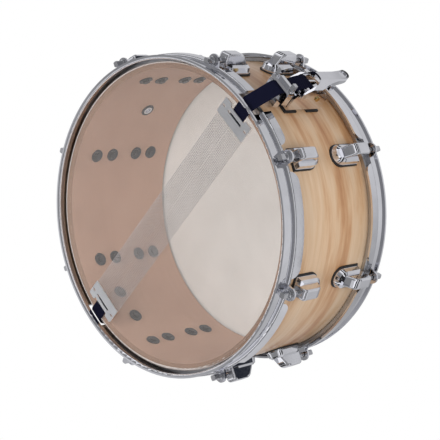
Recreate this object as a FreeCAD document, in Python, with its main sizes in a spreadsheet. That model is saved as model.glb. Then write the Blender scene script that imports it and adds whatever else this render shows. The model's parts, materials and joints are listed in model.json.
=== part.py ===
"""A 14 x 6.5 inch snare drum with triple-flanged hoops, a throw-off strainer and coiled wires.

Millimetres. The drum's axis is Z, with the batter head up and the snare wires below. The origin
is the centre of the snare-side rim, which the drum rests on. The strainer is at -Y, the butt
plate at +Y and the vent at -X. Heights called "level" are measured from the middle of the shell.
"""
import FreeCAD, Part
import math
import os
import Sketcher

DOC = FreeCAD.newDocument("SnareDrum")
ORIGIN = FreeCAD.Vector(0, 0, 0)
UP = FreeCAD.Vector(0, 0, 1)

# ---------------------------------------------------------------- driving dimensions
DIMENSIONS = {
    # shell
    "shell_radius": 177.8,
    "shell_wall": 7.0,
    "shell_depth": 165.0,
    "edge_inset": 3.0,
    "bed_depth": 2.5,
    "bed_radius": 500.0,
    "vent_radius": 5.5,
    "vent_level": 8.0,
    # heads
    "film": 0.4,
    "collar_gap": 0.4,
    "flesh_width": 4.8,
    "flesh_top": 72.2,
    "flesh_bottom": 65.5,
    # hoops
    "rim_rise": 8.0,
    "steel": 2.3,
    "hoop_bore": 181.0,
    "lip_radius": 185.5,
    "skirt_radius": 188.0,
    "skirt_flare": 0.9,
    "step_drop": 16.0,
    "skirt_drop": 29.5,
    "gate_half": 16.0,
    "gate_level": 83.8,
    # tension points
    "tension_points": 8,
    "first_angle": 22.5,
    "rod_circle": 191.5,
    "rod_radius": 2.75,
    "rod_tip_level": 40.0,
    "ear_half": 7.6,
    "ear_hole": 3.5,
    "scallop": 11.2,
    "scallop_start": 15.0,
    "washer_thick": 1.5,
    "key_square": 6.3,
    "key_height": 8.0,
    "collar_thick": 2.4,
    # lugs
    "gasket_thick": 1.5,
    "gasket_rim": 1.3,
    "lug_half": 12.0,
    "lug_rear": 15.8,
    "lug_front": 54.0,
    "lug_base": 1.6,
    "dome_flank": 5.4,
    "dome_crown": 2.2,
    "brow_bend": 10.0,
    "nose_bend": 5.0,
    "fin_half": 6.8,
    "fin_radius": 201.5,
    "fin_end": 60.5,
    "nut_radius": 5.5,
    "nut_length": 14.0,
    "screw_radius": 2.0,
    "screw_inner": 20.2,
    "screw_outer": 46.0,
    "screw_washer": 8.2,
    # strainer
    "housing_half": 11.0,
    "housing_wall": 2.2,
    "housing_back": 184.6,
    "pivot_out": 204.0,
    "pivot_level": -16.5,
    "pivot_radius": 2.5,
    "crank_throw": 5.0,
    "crank_pin": 2.0,
    "lever_half": 14.4,
    "lever_plate": 2.8,
    "jaw_half": 16.0,
    "clamp_level": -46.2,
    "clamp_half": 4.5,
    "clamp_screw_x": 13.0,
    "knob_out": 189.8,
    "knob_radius": 6.5,
    # snares
    "strap_half": 10.0,
    "strap_thick": 0.6,
    "coil_count": 20,
    "coil_pitch": 2.4,
    "coil_radius": 1.1,
    "plate_half": 24.5,
    "plate_thick": 1.2,
    "front_plate_out": 149.0,
    "rear_plate_out": 143.0,
    # running gaps
    "play": 0.3,
    "fit": 0.06,
}


class Size:
    """A length that carries both its number and the sheet formula it comes from."""

    def __init__(self, value, formula):
        self.value = value
        self.formula = formula

    def __add__(self, other):
        other = as_size(other)
        return Size(self.value + other.value, f"({self.formula} + {other.formula})")

    def __radd__(self, other):
        return as_size(other) + self

    def __sub__(self, other):
        other = as_size(other)
        return Size(self.value - other.value, f"({self.formula} - {other.formula})")

    def __rsub__(self, other):
        return as_size(other) - self

    def __mul__(self, other):
        other = as_size(other)
        return Size(self.value * other.value, f"({self.formula} * {other.formula})")

    def __rmul__(self, other):
        return as_size(other) * self

    def __truediv__(self, other):
        other = as_size(other)
        return Size(self.value / other.value, f"({self.formula} / {other.formula})")

    def __neg__(self):
        return Size(-self.value, f"(0 - {self.formula})")


def as_size(number):
    """A Size as it is, or a plain number as a Size."""
    if isinstance(number, Size):
        return number
    return Size(float(number), f"({float(number):.6g})")


class Sheet:
    """The driving dimensions as attributes, each one a Size bound to its cell."""

    def __init__(self, dimensions):
        cells = DOC.addObject("Spreadsheet::Sheet", "Sizes")
        for row, (alias, value) in enumerate(dimensions.items(), start=1):
            cells.set(f"A{row}", alias)
            cells.set(f"B{row}", str(value))
            cells.setAlias(f"B{row}", alias)
            setattr(self, alias, Size(value, f"Sizes.{alias}"))
        DOC.recompute()


S = Sheet(DIMENSIONS)
MIDDLE = S.shell_depth / 2 + S.rim_rise
RIM_LEVEL = MIDDLE
SHELL_BORE = S.shell_radius - S.shell_wall
GASKET_FACE = S.shell_radius + S.gasket_thick
FILM_LEVEL = S.shell_depth / 2 + S.film
STEP_LEVEL = RIM_LEVEL - S.step_drop
SKIRT_LEVEL = RIM_LEVEL - S.skirt_drop
COLLAR_BORE = S.shell_radius + S.collar_gap
BATTER = 1
SNARE = -1
FRONT = -1
REAR = 1


def height(level, side=BATTER):
    """The height over the rim plane of a level on one side of the shell's middle."""
    return MIDDLE + side * as_size(level)


# ---------------------------------------------------------------- building blocks
def bind(thing, path, size):
    """Tie a property of an object to the sheet."""
    thing.setExpression(path, as_size(size).formula)


def new_body(label):
    """A body for one sub-part; it may hold several equal solids."""
    body = DOC.addObject("PartDesign::Body", label)
    body.Label = label
    body.AllowCompound = True
    return body


def origin_feature(body, role):
    """One of the body's own origin planes or axes."""
    return next(item for item in body.Origin.OriginFeatures if item.Role == role)


def new_sketch(body, name, role, offset=0, turn=0):
    """An empty sketch on an origin plane, moved along its normal or turned about the drum axis."""
    sketch = body.newObject("Sketcher::SketchObject", name)
    sketch.AttachmentSupport = [(origin_feature(body, role), "")]
    sketch.MapMode = "FlatFace"
    turn_axis = UP if role == "XY_Plane" else FreeCAD.Vector(0, 1, 0)
    sketch.AttachmentOffset = FreeCAD.Placement(ORIGIN, FreeCAD.Rotation(turn_axis, turn))
    bind(sketch, "AttachmentOffset.Base.z", offset)
    return sketch


def pin_down(sketch, kind, geometry, position, size):
    """Fix one coordinate of a sketch point and tie it to the sheet."""
    size = as_size(size)
    index = sketch.addConstraint(Sketcher.Constraint(kind, -1, 1, geometry, position, size.value))
    name = f"{kind}_{geometry}_{position}"
    sketch.renameConstraint(index, name)
    bind(sketch, f"Constraints.{name}", size)


class Bend:
    """An outline's next point, reached along an arc about a centre."""

    def __init__(self, end, centre, clockwise=False):
        self.end = end
        self.centre = centre
        self.clockwise = clockwise


def draw_outline(sketch, steps):
    """A closed outline of straight runs and bends, every corner tied to the sheet."""
    corners = [step.end if isinstance(step, Bend) else step for step in steps]
    flat = [FreeCAD.Vector(as_size(x).value, as_size(y).value, 0) for x, y in corners]
    first = sketch.GeometryCount
    count = len(steps)
    ends = []
    for index in range(count):
        start = flat[index]
        end = flat[(index + 1) % count]
        step = steps[(index + 1) % count]
        if isinstance(step, Bend):
            arc = arc_between(start, end, step)
            sketch.addGeometry(arc, False)
            ends.append((2, 1) if step.clockwise else (1, 2))
            fix_bend(sketch, first + index, step, start, end)
        else:
            sketch.addGeometry(Part.LineSegment(start, end), False)
            ends.append((1, 2))
    for index in range(count):
        following = (index + 1) % count
        meet = Sketcher.Constraint("Coincident", first + index, ends[index][1],
                                   first + following, ends[following][0])
        sketch.addConstraint(meet)
    for index, (x, y) in enumerate(corners):
        pin_down(sketch, "DistanceX", first + index, ends[index][0], x)
        pin_down(sketch, "DistanceY", first + index, ends[index][0], y)


def arc_between(start, end, bend):
    """The arc of a bend, drawn anticlockwise as the sketcher wants it."""
    centre = FreeCAD.Vector(as_size(bend.centre[0]).value, as_size(bend.centre[1]).value, 0)
    low, high = (end, start) if bend.clockwise else (start, end)
    from_angle = math.atan2(low.y - centre.y, low.x - centre.x)
    to_angle = math.atan2(high.y - centre.y, high.x - centre.x)
    if to_angle <= from_angle:
        to_angle += 2 * math.pi
    circle = Part.Circle(centre, UP, (low - centre).Length)
    return Part.ArcOfCircle(circle, from_angle, to_angle)


def fix_bend(sketch, geometry, bend, start, end):
    """An arc with both ends fixed has one freedom left, its centre along the bisector."""
    if abs(end.y - start.y) > abs(end.x - start.x):
        pin_down(sketch, "DistanceX", geometry, 3, bend.centre[0])
    else:
        pin_down(sketch, "DistanceY", geometry, 3, bend.centre[1])


def draw_circle(sketch, x, y, radius):
    """A circle whose centre and radius are tied to the sheet."""
    radius = as_size(radius)
    centre = FreeCAD.Vector(as_size(x).value, as_size(y).value, 0)
    geometry = sketch.addGeometry(Part.Circle(centre, UP, radius.value), False)
    pin_down(sketch, "DistanceX", geometry, 3, x)
    pin_down(sketch, "DistanceY", geometry, 3, y)
    index = sketch.addConstraint(Sketcher.Constraint("Radius", geometry, radius.value))
    name = f"Radius_{geometry}"
    sketch.renameConstraint(index, name)
    bind(sketch, f"Constraints.{name}", radius)


def rectangle(low_x, high_x, low_y, high_y):
    """The four corners of an upright rectangle."""
    return [(low_x, low_y), (high_x, low_y), (high_x, high_y), (low_x, high_y)]


def revolve(body, name, steps):
    """A full turn about the drum axis of a profile given as radius and height."""
    sketch = new_sketch(body, name + "_profile", "XZ_Plane")
    draw_outline(sketch, steps)
    feature = body.newObject("PartDesign::Revolution", name)
    feature.Profile = sketch
    feature.ReferenceAxis = (sketch, ["V_Axis"])
    feature.Angle = 360
    return feature


def pad(body, name, sketch, length, midplane=False, backwards=False, taper=0):
    """Material raised from a sketch."""
    feature = body.newObject("PartDesign::Pad", name)
    feature.Profile = sketch
    bind(feature, "Length", length)
    feature.Midplane = midplane
    feature.Reversed = backwards
    feature.TaperAngle = taper
    return feature


def pocket(body, name, sketch, length=None, midplane=False, backwards=False):
    """Material removed from a sketch, right through when no length is given."""
    feature = body.newObject("PartDesign::Pocket", name)
    feature.Profile = sketch
    if length is None:
        feature.Type = "ThroughAll"
    else:
        bind(feature, "Length", length)
    feature.Midplane = midplane
    feature.Reversed = backwards
    return feature


def repeat_features(body, name, features):
    """Repeat features at every tension point round the drum axis."""
    pattern = body.newObject("PartDesign::PolarPattern", name)
    pattern.Originals = features
    pattern.Axis = (origin_feature(body, "Z_Axis"), [""])
    pattern.Angle = 360
    bind(pattern, "Occurrences", S.tension_points)
    body.Tip = pattern
    return pattern


def repeat_body(body, name="round_the_shell"):
    """Repeat the whole piece at every tension point, as separate solids."""
    whole = body.Tip
    pattern = body.newObject("PartDesign::PolarPattern", name)
    pattern.BaseFeature = whole
    pattern.TransformMode = "Whole shape"
    pattern.Axis = (origin_feature(body, "Z_Axis"), [""])
    pattern.Angle = 360
    bind(pattern, "Occurrences", S.tension_points)
    body.Tip = pattern
    return pattern


def turn_to_first_point(body):
    """Swing a body built along +X onto the first tension point."""
    bind(body, "Placement.Rotation.Angle", S.first_angle)


PARTS = []


def finished(body):
    """Put a sub-part on the list of those to export."""
    PARTS.append(body)
    return body


# ---------------------------------------------------------------- shell
def make_shell():
    """The wooden cylinder, with sloped bearing edges, snare beds and drilled holes."""
    body = new_body("shell")
    apex = S.shell_radius - S.edge_inset
    slope = apex - SHELL_BORE
    low = height(S.shell_depth / 2, SNARE)
    high = height(S.shell_depth / 2)
    revolve(body, "ply_shell", [
        (S.shell_radius, low + S.edge_inset),
        (S.shell_radius, high - S.edge_inset),
        (apex, high),
        (SHELL_BORE, high - slope),
        (SHELL_BORE, low + slope),
        (apex, low),
    ])
    beds = new_sketch(body, "snare_bed_arc", "XZ_Plane")
    draw_circle(beds, 0, low + S.bed_depth - S.bed_radius, S.bed_radius)
    pocket(body, "snare_beds", beds, midplane=True)

    lug_holes = new_sketch(body, "lug_hole_circles", "YZ_Plane", turn=S.first_angle.value)
    for side in (SNARE, BATTER):
        for level in (S.screw_inner, S.screw_outer):
            draw_circle(lug_holes, 0, height(level, side), S.screw_radius + S.play)
    drilled = pocket(body, "lug_holes", lug_holes, backwards=True)
    repeat_features(body, "lug_holes_round", [drilled])

    front_holes = new_sketch(body, "strainer_hole_circles", "XZ_Plane")
    for level in STRAINER_SCREW_LEVELS:
        draw_circle(front_holes, 0, height(level), S.screw_radius + S.play)
    pocket(body, "strainer_holes", front_holes, backwards=True)

    rear_holes = new_sketch(body, "butt_hole_circles", "XZ_Plane")
    for x in (-BUTT_SCREW_X, BUTT_SCREW_X):
        draw_circle(rear_holes, x, height(BUTT_SCREW_LEVEL), S.screw_radius + S.play)
    pocket(body, "butt_holes", rear_holes)

    vent = new_sketch(body, "vent_circle", "YZ_Plane")
    draw_circle(vent, 0, height(S.vent_level), S.vent_radius)
    tip = pocket(body, "vent_hole", vent)
    body.Tip = tip
    finished(body)


def make_vent():
    """The air vent: a flanged tube from outside and the washer that closes it inside."""
    tube_bore = S.vent_radius - 1.3
    flange = S.vent_radius + 4
    outer = new_body("vent_grommet")
    revolve(outer, "flanged_tube", [
        (tube_bore, S.shell_radius - S.shell_wall - 1.6),
        (S.vent_radius, S.shell_radius - S.shell_wall - 1.6),
        (S.vent_radius, S.shell_radius + 0.35),
        (flange, S.shell_radius + 0.35),
        Bend((flange - 2, S.shell_radius + 2), (flange - 2, S.shell_radius + 0.2)),
        (tube_bore + 1, S.shell_radius + 2.4),
        (tube_bore, S.shell_radius + 1.4),
    ])
    inner = new_body("vent_washer")
    revolve(inner, "washer_ring", [
        (S.vent_radius, SHELL_BORE - 1.5),
        (S.vent_radius + 2.6, SHELL_BORE - 1.5),
        (S.vent_radius + 3.2, SHELL_BORE - 0.35),
        (S.vent_radius, SHELL_BORE - 0.35),
    ])
    for body in (outer, inner):
        body.Placement = FreeCAD.Placement(ORIGIN, FreeCAD.Rotation(FreeCAD.Vector(0, 1, 0), -90))
        bind(body, "Placement.Base.z", height(S.vent_level))
        finished(body)


# ---------------------------------------------------------------- heads
def make_head(label, side):
    """A film with a rounded collar that reaches down inside its flesh hoop."""
    body = new_body(label)
    top = S.shell_depth / 2
    bend = COLLAR_BORE + S.film - (S.shell_radius - S.edge_inset)
    crown = S.shell_radius - S.edge_inset
    centre = (crown, height(top + S.film - bend, side))
    outer = COLLAR_BORE + S.film
    clockwise = side == BATTER
    revolve(body, "head_film", [
        (0, height(top + S.film, side)),
        (crown, height(top + S.film, side)),
        Bend((outer, height(top + S.film - bend, side)), centre, clockwise),
        (outer, height(S.flesh_bottom + 2, side)),
        (COLLAR_BORE, height(S.flesh_bottom + 2, side)),
        (COLLAR_BORE, height(top + S.film - bend, side)),
        Bend((crown, height(top, side)), centre, not clockwise),
        (0, height(top, side)),
    ])
    finished(body)


def make_flesh_hoop(label, side):
    """The metal ring crimped round the head's edge; the hoop's step presses on it."""
    body = new_body(label)
    inner = COLLAR_BORE + S.film
    outer = inner + S.flesh_width
    revolve(body, "crimped_ring", [
        (inner, height(S.flesh_bottom, side)),
        (outer - 1, height(S.flesh_bottom, side)),
        (outer, height(S.flesh_bottom + 1, side)),
        (outer, height(S.flesh_top - 1, side)),
        (outer - 1, height(S.flesh_top, side)),
        (inner, height(S.flesh_top, side)),
    ])
    finished(body)


# ---------------------------------------------------------------- hoops
def hoop_profile(side):
    """The section of a triple-flanged hoop, from the lip through the wall and step to the skirt."""
    clockwise = side == BATTER
    wall_out = S.hoop_bore + S.steel
    skirt_in = S.skirt_radius - S.steel
    shoulder = S.skirt_radius - S.skirt_flare
    lip_bend = S.steel
    step_bend = 3
    return [
        (S.hoop_bore, height(STEP_LEVEL - S.steel, side)),
        (S.hoop_bore, height(RIM_LEVEL - lip_bend, side)),
        Bend((S.hoop_bore + lip_bend, height(RIM_LEVEL, side)),
             (S.hoop_bore + lip_bend, height(RIM_LEVEL - lip_bend, side)), clockwise),
        (S.lip_radius, height(RIM_LEVEL, side)),
        (S.lip_radius, height(RIM_LEVEL - S.steel, side)),
        (wall_out, height(RIM_LEVEL - S.steel, side)),
        (wall_out, height(STEP_LEVEL, side)),
        (shoulder - step_bend, height(STEP_LEVEL, side)),
        Bend((shoulder, height(STEP_LEVEL - step_bend, side)),
             (shoulder - step_bend, height(STEP_LEVEL - step_bend, side)), clockwise),
        (S.skirt_radius, height(SKIRT_LEVEL, side)),
        (skirt_in, height(SKIRT_LEVEL, side)),
        (skirt_in - S.skirt_flare, height(STEP_LEVEL - S.steel, side)),
    ]


def add_ears(body, side):
    """The drilled ears of a hoop, with the skirt scalloped away beside each one."""
    ear = new_sketch(body, "ear_outline", "XY_Plane", height(STEP_LEVEL - S.steel, side),
                     turn=S.first_angle.value)
    root = S.hoop_bore + S.steel + 0.5
    draw_outline(ear, [
        (root, -S.ear_half - 1.5),
        (S.rod_circle, -S.ear_half),
        Bend((S.rod_circle, S.ear_half), (S.rod_circle, 0)),
        (root, S.ear_half + 1.5),
    ])
    draw_circle(ear, S.rod_circle, 0, S.ear_hole)
    plate = pad(body, "ear", ear, S.steel, backwards=side == SNARE)

    notch = new_sketch(body, "scallop_outline", "YZ_Plane", turn=S.first_angle.value)
    inner = S.scallop_start
    outer = S.scallop_start + S.scallop
    top = height(STEP_LEVEL - S.steel, side)
    bottom = height(STEP_LEVEL - S.steel - S.scallop, side)
    past = height(SKIRT_LEVEL - 2, side)
    batter = side == BATTER
    draw_outline(notch, [
        (outer, past),
        (outer, bottom),
        Bend((inner, top), (outer, top), batter),
        (-inner, top),
        Bend((-outer, bottom), (-outer, top), batter),
        (-outer, past),
    ])
    cut = pocket(body, "scallop", notch, backwards=True)
    repeat_features(body, "ears_round", [plate, cut])


def make_hoop(label, side):
    """A counter hoop; the snare-side one has gates that the straps pass through."""
    body = new_body(label)
    revolve(body, "rolled_hoop", hoop_profile(side))
    add_ears(body, side)
    if side == SNARE:
        gates = new_sketch(body, "gate_outline", "XZ_Plane")
        draw_outline(gates, rectangle(-S.gate_half, S.gate_half, height(S.gate_level, side),
                                      height(SKIRT_LEVEL - 3, side)))
        body.Tip = pocket(body, "snare_gates", gates, midplane=True)
    finished(body)


# ---------------------------------------------------------------- lugs and tension rods
FLANK_SLOPE = 12
CROWN_SLOPE = 52


def footprint(margin, side):
    """A lug's outline on the shell: round at the rear, straight sides, square at the front."""
    half = S.lug_half + margin
    centre = height(S.lug_rear + S.lug_half, side)
    front = height(S.lug_front + margin, side)
    return [
        Bend((half, centre), (0, centre), side == SNARE),
        (half, front),
        (-half, front),
        (-half, centre),
    ]


def make_lug_gaskets():
    """Black pads between the lugs and the shell, hollowed to the shell's curve."""
    body = new_body("lug_gaskets")
    behind = S.shell_radius - 1
    for side in (SNARE, BATTER):
        outline = new_sketch(body, f"gasket_outline_{side}", "YZ_Plane", behind)
        draw_outline(outline, footprint(S.gasket_rim, side))
        for level in (S.screw_inner, S.screw_outer):
            draw_circle(outline, 0, height(level, side), S.screw_radius + S.play)
        pad(body, f"gasket_{side}", outline, GASKET_FACE - behind)
    curve = new_sketch(body, "shell_curve", "XY_Plane")
    draw_circle(curve, 0, 0, S.shell_radius)
    pocket(body, "hollowed", curve, midplane=True)
    repeat_body(body)
    turn_to_first_point(body)
    finished(body)


def soften(body, name, feature, radius, chosen):
    """Round the edges of a feature that a test picks out."""
    DOC.recompute()
    edges = feature.Shape.Edges
    names = [f"Edge{index + 1}" for index, edge in enumerate(edges) if chosen(edge)]
    rounding = body.newObject("PartDesign::Fillet", name)
    rounding.Base = (feature, names)
    bind(rounding, "Radius", radius)
    return rounding


def make_lugs(label, side):
    """Single-ended lugs: a domed base and a fin that holds the swivel nut over the shell."""
    body = new_body(label)
    fin = new_sketch(body, "fin_outline", "XZ_Plane")
    root = GASKET_FACE + S.lug_base
    crest = S.fin_radius
    brow = S.brow_bend
    nose = S.nose_bend
    under = S.rod_circle - S.nut_radius - 1.4
    turns = side == SNARE
    draw_outline(fin, [
        (root, height(S.lug_rear + 3, side)),
        (crest - 0.4 * brow, height(S.lug_rear + 15, side)),
        Bend((crest, height(S.lug_rear + 15 + 0.8 * brow, side)),
             (crest - brow, height(S.lug_rear + 15 + 0.8 * brow, side)), turns),
        (crest, height(S.fin_end - nose, side)),
        Bend((crest - nose, height(S.fin_end, side)),
             (crest - nose, height(S.fin_end - nose, side)), turns),
        (under, height(S.fin_end, side)),
        (under, height(S.lug_front, side)),
        (root, height(S.lug_front, side)),
    ])
    blade = pad(body, "fin", fin, 2 * S.fin_half, midplane=True)
    low_crest = crest.value - nose.value - 1

    def along_the_crest(edge):
        middle = edge.valueAt((edge.FirstParameter + edge.LastParameter) / 2)
        return abs(abs(middle.y) - S.fin_half.value) < 0.01 and middle.x > low_crest

    soften(body, "fin_edges", blade, 2.6, along_the_crest)

    base = new_sketch(body, "base_outline", "YZ_Plane", GASKET_FACE)
    draw_outline(base, footprint(0, side))
    pad(body, "base", base, S.lug_base)
    flank = new_sketch(body, "flank_outline", "YZ_Plane", GASKET_FACE + S.lug_base)
    draw_outline(flank, footprint(-0.3, side))
    pad(body, "flank", flank, S.dome_flank, taper=-FLANK_SLOPE)
    narrowed = S.dome_flank.value * math.tan(math.radians(FLANK_SLOPE)) + 0.3
    crown = new_sketch(body, "crown_outline", "YZ_Plane",
                       GASKET_FACE + S.lug_base + S.dome_flank)
    draw_outline(crown, footprint(-narrowed, side))
    pad(body, "crown", crown, S.dome_crown, taper=-CROWN_SLOPE)

    recess = new_sketch(body, "recess_outline", "XZ_Plane")
    draw_outline(recess, [
        (root + 5.5, height(S.lug_rear + 4, side)),
        (root + 5.5, height(S.lug_rear + 12, side)),
        (root + 14, height(S.lug_rear + 15, side)),
        (root + 14, height(S.lug_rear + 4, side)),
    ])
    pocket(body, "rear_recess", recess, 2 * (S.fin_half - 1.7), midplane=True)

    hollow = new_sketch(body, "hollow_outline", "YZ_Plane", GASKET_FACE)
    draw_outline(hollow, rectangle(-8, 8, height(25, side), height(41.5, side)))
    pocket(body, "hollow_back", hollow, 3.2, backwards=True)
    screws = new_sketch(body, "screw_circles", "YZ_Plane", GASKET_FACE)
    for level in (S.screw_inner, S.screw_outer):
        draw_circle(screws, 0, height(level, side), S.screw_radius)
    pocket(body, "screw_holes", screws, 5.5, backwards=True)

    mouth = height(S.fin_end, side)
    seat = new_sketch(body, "nut_circle", "XY_Plane", mouth)
    draw_circle(seat, S.rod_circle, 0, S.nut_radius)
    pocket(body, "nut_seat", seat, S.nut_length + 0.5, backwards=side == SNARE)
    passage = new_sketch(body, "rod_circle_outline", "XY_Plane", mouth)
    draw_circle(passage, S.rod_circle, 0, S.rod_radius + S.play)
    pocket(body, "rod_passage", passage, S.fin_end - S.rod_tip_level + 2, backwards=side == SNARE)
    repeat_body(body)
    turn_to_first_point(body)
    finished(body)


def make_lug_nuts():
    """Threaded swivel nuts seated in the ends of the lugs."""
    body = new_body("lug_nuts")
    for side in (SNARE, BATTER):
        start = height(S.fin_end - 0.5 - S.nut_length, side)
        outline = new_sketch(body, f"nut_outline_{side}", "XY_Plane", start)
        draw_circle(outline, S.rod_circle, 0, S.nut_radius)
        draw_circle(outline, S.rod_circle, 0, S.rod_radius + S.fit)
        pad(body, f"nut_{side}", outline, S.nut_length, backwards=side == SNARE)
    repeat_body(body)
    turn_to_first_point(body)
    finished(body)


def lug_screw_circles(body, name, offset, *radii):
    """Circles of the given radii at all four screws of a pair of lugs."""
    sketch = new_sketch(body, name, "YZ_Plane", offset)
    for side in (SNARE, BATTER):
        for level in (S.screw_inner, S.screw_outer):
            for radius in radii:
                draw_circle(sketch, 0, height(level, side), radius)
    return sketch


def make_lug_fixings():
    """The screws that hold the lugs from inside the shell, and their wide washers."""
    washer_thick = as_size(1.2)
    washer_face = SHELL_BORE - 0.25
    washers = new_body("lug_washers")
    rings = lug_screw_circles(washers, "washer_rings", washer_face - washer_thick,
                              S.screw_radius + S.play, S.screw_washer)
    pad(washers, "washer", rings, washer_thick)
    repeat_body(washers)
    turn_to_first_point(washers)
    finished(washers)

    screws = new_body("lug_screws")
    seat = washer_face - washer_thick
    head = lug_screw_circles(screws, "head_circles", seat - 2.4, 4.2)
    pad(screws, "head", head, 2.4)
    shank = lug_screw_circles(screws, "shank_circles", seat - 1, S.screw_radius)
    pad(screws, "shank", shank, GASKET_FACE + 5 - (seat - 1))
    repeat_body(screws)
    turn_to_first_point(screws)
    finished(screws)


def make_rod_washers():
    """Flat washers between the rods' collars and the hoops' ears."""
    body = new_body("rod_washers")
    for side in (SNARE, BATTER):
        rings = new_sketch(body, f"washer_rings_{side}", "XY_Plane", height(STEP_LEVEL, side))
        draw_circle(rings, S.rod_circle, 0, 6.5)
        draw_circle(rings, S.rod_circle, 0, S.rod_radius + S.play)
        pad(body, f"washer_{side}", rings, S.washer_thick, backwards=side == SNARE)
    repeat_body(body)
    turn_to_first_point(body)
    finished(body)


def turned(angle, function, name):
    """A sine or cosine of an angle in degrees, as a Size."""
    return Size(function(math.radians(angle.value)), f"{name}({angle.formula})")


def make_rod(label, side, point):
    """One tension rod: square key head, round collar and threaded shank."""
    body = new_body(label)
    seat = STEP_LEVEL + S.washer_thick + 0.1
    crown = seat + S.collar_thick
    collar = as_size(5.2)
    revolve(body, "turned_rod", [
        (0, height(S.rod_tip_level, side)),
        (S.rod_radius - 0.6, height(S.rod_tip_level, side)),
        (S.rod_radius, height(S.rod_tip_level + 0.8, side)),
        (S.rod_radius, height(seat, side)),
        (collar, height(seat, side)),
        (collar, height(crown - 0.6, side)),
        (collar - 0.6, height(crown, side)),
        (0, height(crown, side)),
    ])
    key = new_sketch(body, "key_square", "XY_Plane", height(crown, side))
    half = S.key_square / 2
    draw_outline(key, [
        (half - 1, -half), (half, -half + 1), (half, half - 1), (half - 1, half),
        (-half + 1, half), (-half, half - 1), (-half, -half + 1), (-half + 1, -half),
    ])
    body.Tip = pad(body, "key", key, S.key_height, backwards=side == SNARE)
    angle = S.first_angle + point * (as_size(360) / S.tension_points)
    bind(body, "Placement.Base.x", S.rod_circle * turned(angle, math.cos, "cos"))
    bind(body, "Placement.Base.y", S.rod_circle * turned(angle, math.sin, "sin"))
    bind(body, "Placement.Rotation.Angle", angle)
    finished(body)


# ---------------------------------------------------------------- strainer
STRAINER_SCREW_LEVELS = (-17, 21)
STRAINER_PADS = ((-25.5, -8.5), (12.5, 29.5))
STRAINER_PAD_HALF = 11.6
STRAINER_PAD_RIM = 1.6
STRAINER_GASKET = 1.8
STRAINER_FACE = S.shell_radius + STRAINER_GASKET
GUIDE_OUT = 198
GUIDE_LEVEL = 13
GUIDE_RADIUS = 1.9
LEVER_REAR = 215
LEVER_FRONT = 223.5
LEVER_CREST = 6
TIP_LEVEL = 46
TIP_HALF = 7.5
WAIST_BOTTOM = 6
WAIST_TOP = 37
WAIST_FLARE = 6.9
BUTT_SCREW_X = 19
BUTT_SCREW_LEVEL = -36.6
BUTT_THICK = 8.5
BUTT_LOW = -47
BUTT_HIGH = -27
BUTT_HALF = 26
BUTT_CLAMP_SCREW_X = 13


def outside(distance):
    """The Y coordinate of a distance out from the drum axis on the strainer's side."""
    return -as_size(distance)


def side_sketch(body, name):
    """A sketch of the strainer seen from its side: Y across, Z up."""
    return new_sketch(body, name, "YZ_Plane")


def side_outline(sketch, points):
    """Draw an outline given as distance out and level, bends as seen with outwards to the right."""
    steps = []
    for point in points:
        if isinstance(point, Bend):
            end = (outside(point.end[0]), height(point.end[1]))
            centre = (outside(point.centre[0]), height(point.centre[1]))
            steps.append(Bend(end, centre, not point.clockwise))
        else:
            steps.append((outside(point[0]), height(point[1])))
    draw_outline(sketch, steps)


def side_block(body, name, points, width):
    """A block with the given side outline, centred on the strainer's middle plane."""
    sketch = side_sketch(body, name + "_outline")
    side_outline(sketch, points)
    return pad(body, name, sketch, width, midplane=True)


def side_bore(body, name, out, level, radius):
    """A hole across the strainer, right through."""
    sketch = side_sketch(body, name + "_circle")
    draw_circle(sketch, outside(out), height(level), radius)
    return pocket(body, name, sketch, midplane=True)


def box_points(low_out, high_out, low_level, high_level):
    """The corners of a rectangle seen from the side."""
    return [(low_out, low_level), (high_out, low_level),
            (high_out, high_level), (low_out, high_level)]


def face_pad(body, name, rectangles, out, length):
    """Blocks raised outwards from a plane that faces out of the strainer's side."""
    sketch = new_sketch(body, name + "_outline", "XZ_Plane", out)
    for low_x, high_x, low_level, high_level in rectangles:
        draw_outline(sketch, rectangle(low_x, high_x, height(low_level), height(high_level)))
    return pad(body, name, sketch, length)


def make_strainer_gaskets():
    """Black pads under the strainer's two feet."""
    body = new_body("strainer_gaskets")
    inner = S.shell_radius - 0.6
    half = STRAINER_PAD_HALF
    rim = STRAINER_PAD_RIM
    blocks = [(-half, half, low - rim, high + rim) for low, high in STRAINER_PADS]
    face_pad(body, "foot_pads", blocks, inner, STRAINER_FACE - inner)
    curve = new_sketch(body, "shell_curve", "XY_Plane")
    draw_circle(curve, 0, 0, S.shell_radius)
    pocket(body, "hollowed", curve, midplane=True)
    holes = new_sketch(body, "hole_circles", "XZ_Plane")
    for level in STRAINER_SCREW_LEVELS:
        draw_circle(holes, 0, height(level), S.screw_radius + S.play)
    body.Tip = pocket(body, "screw_holes", holes, backwards=True)
    finished(body)


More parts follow.
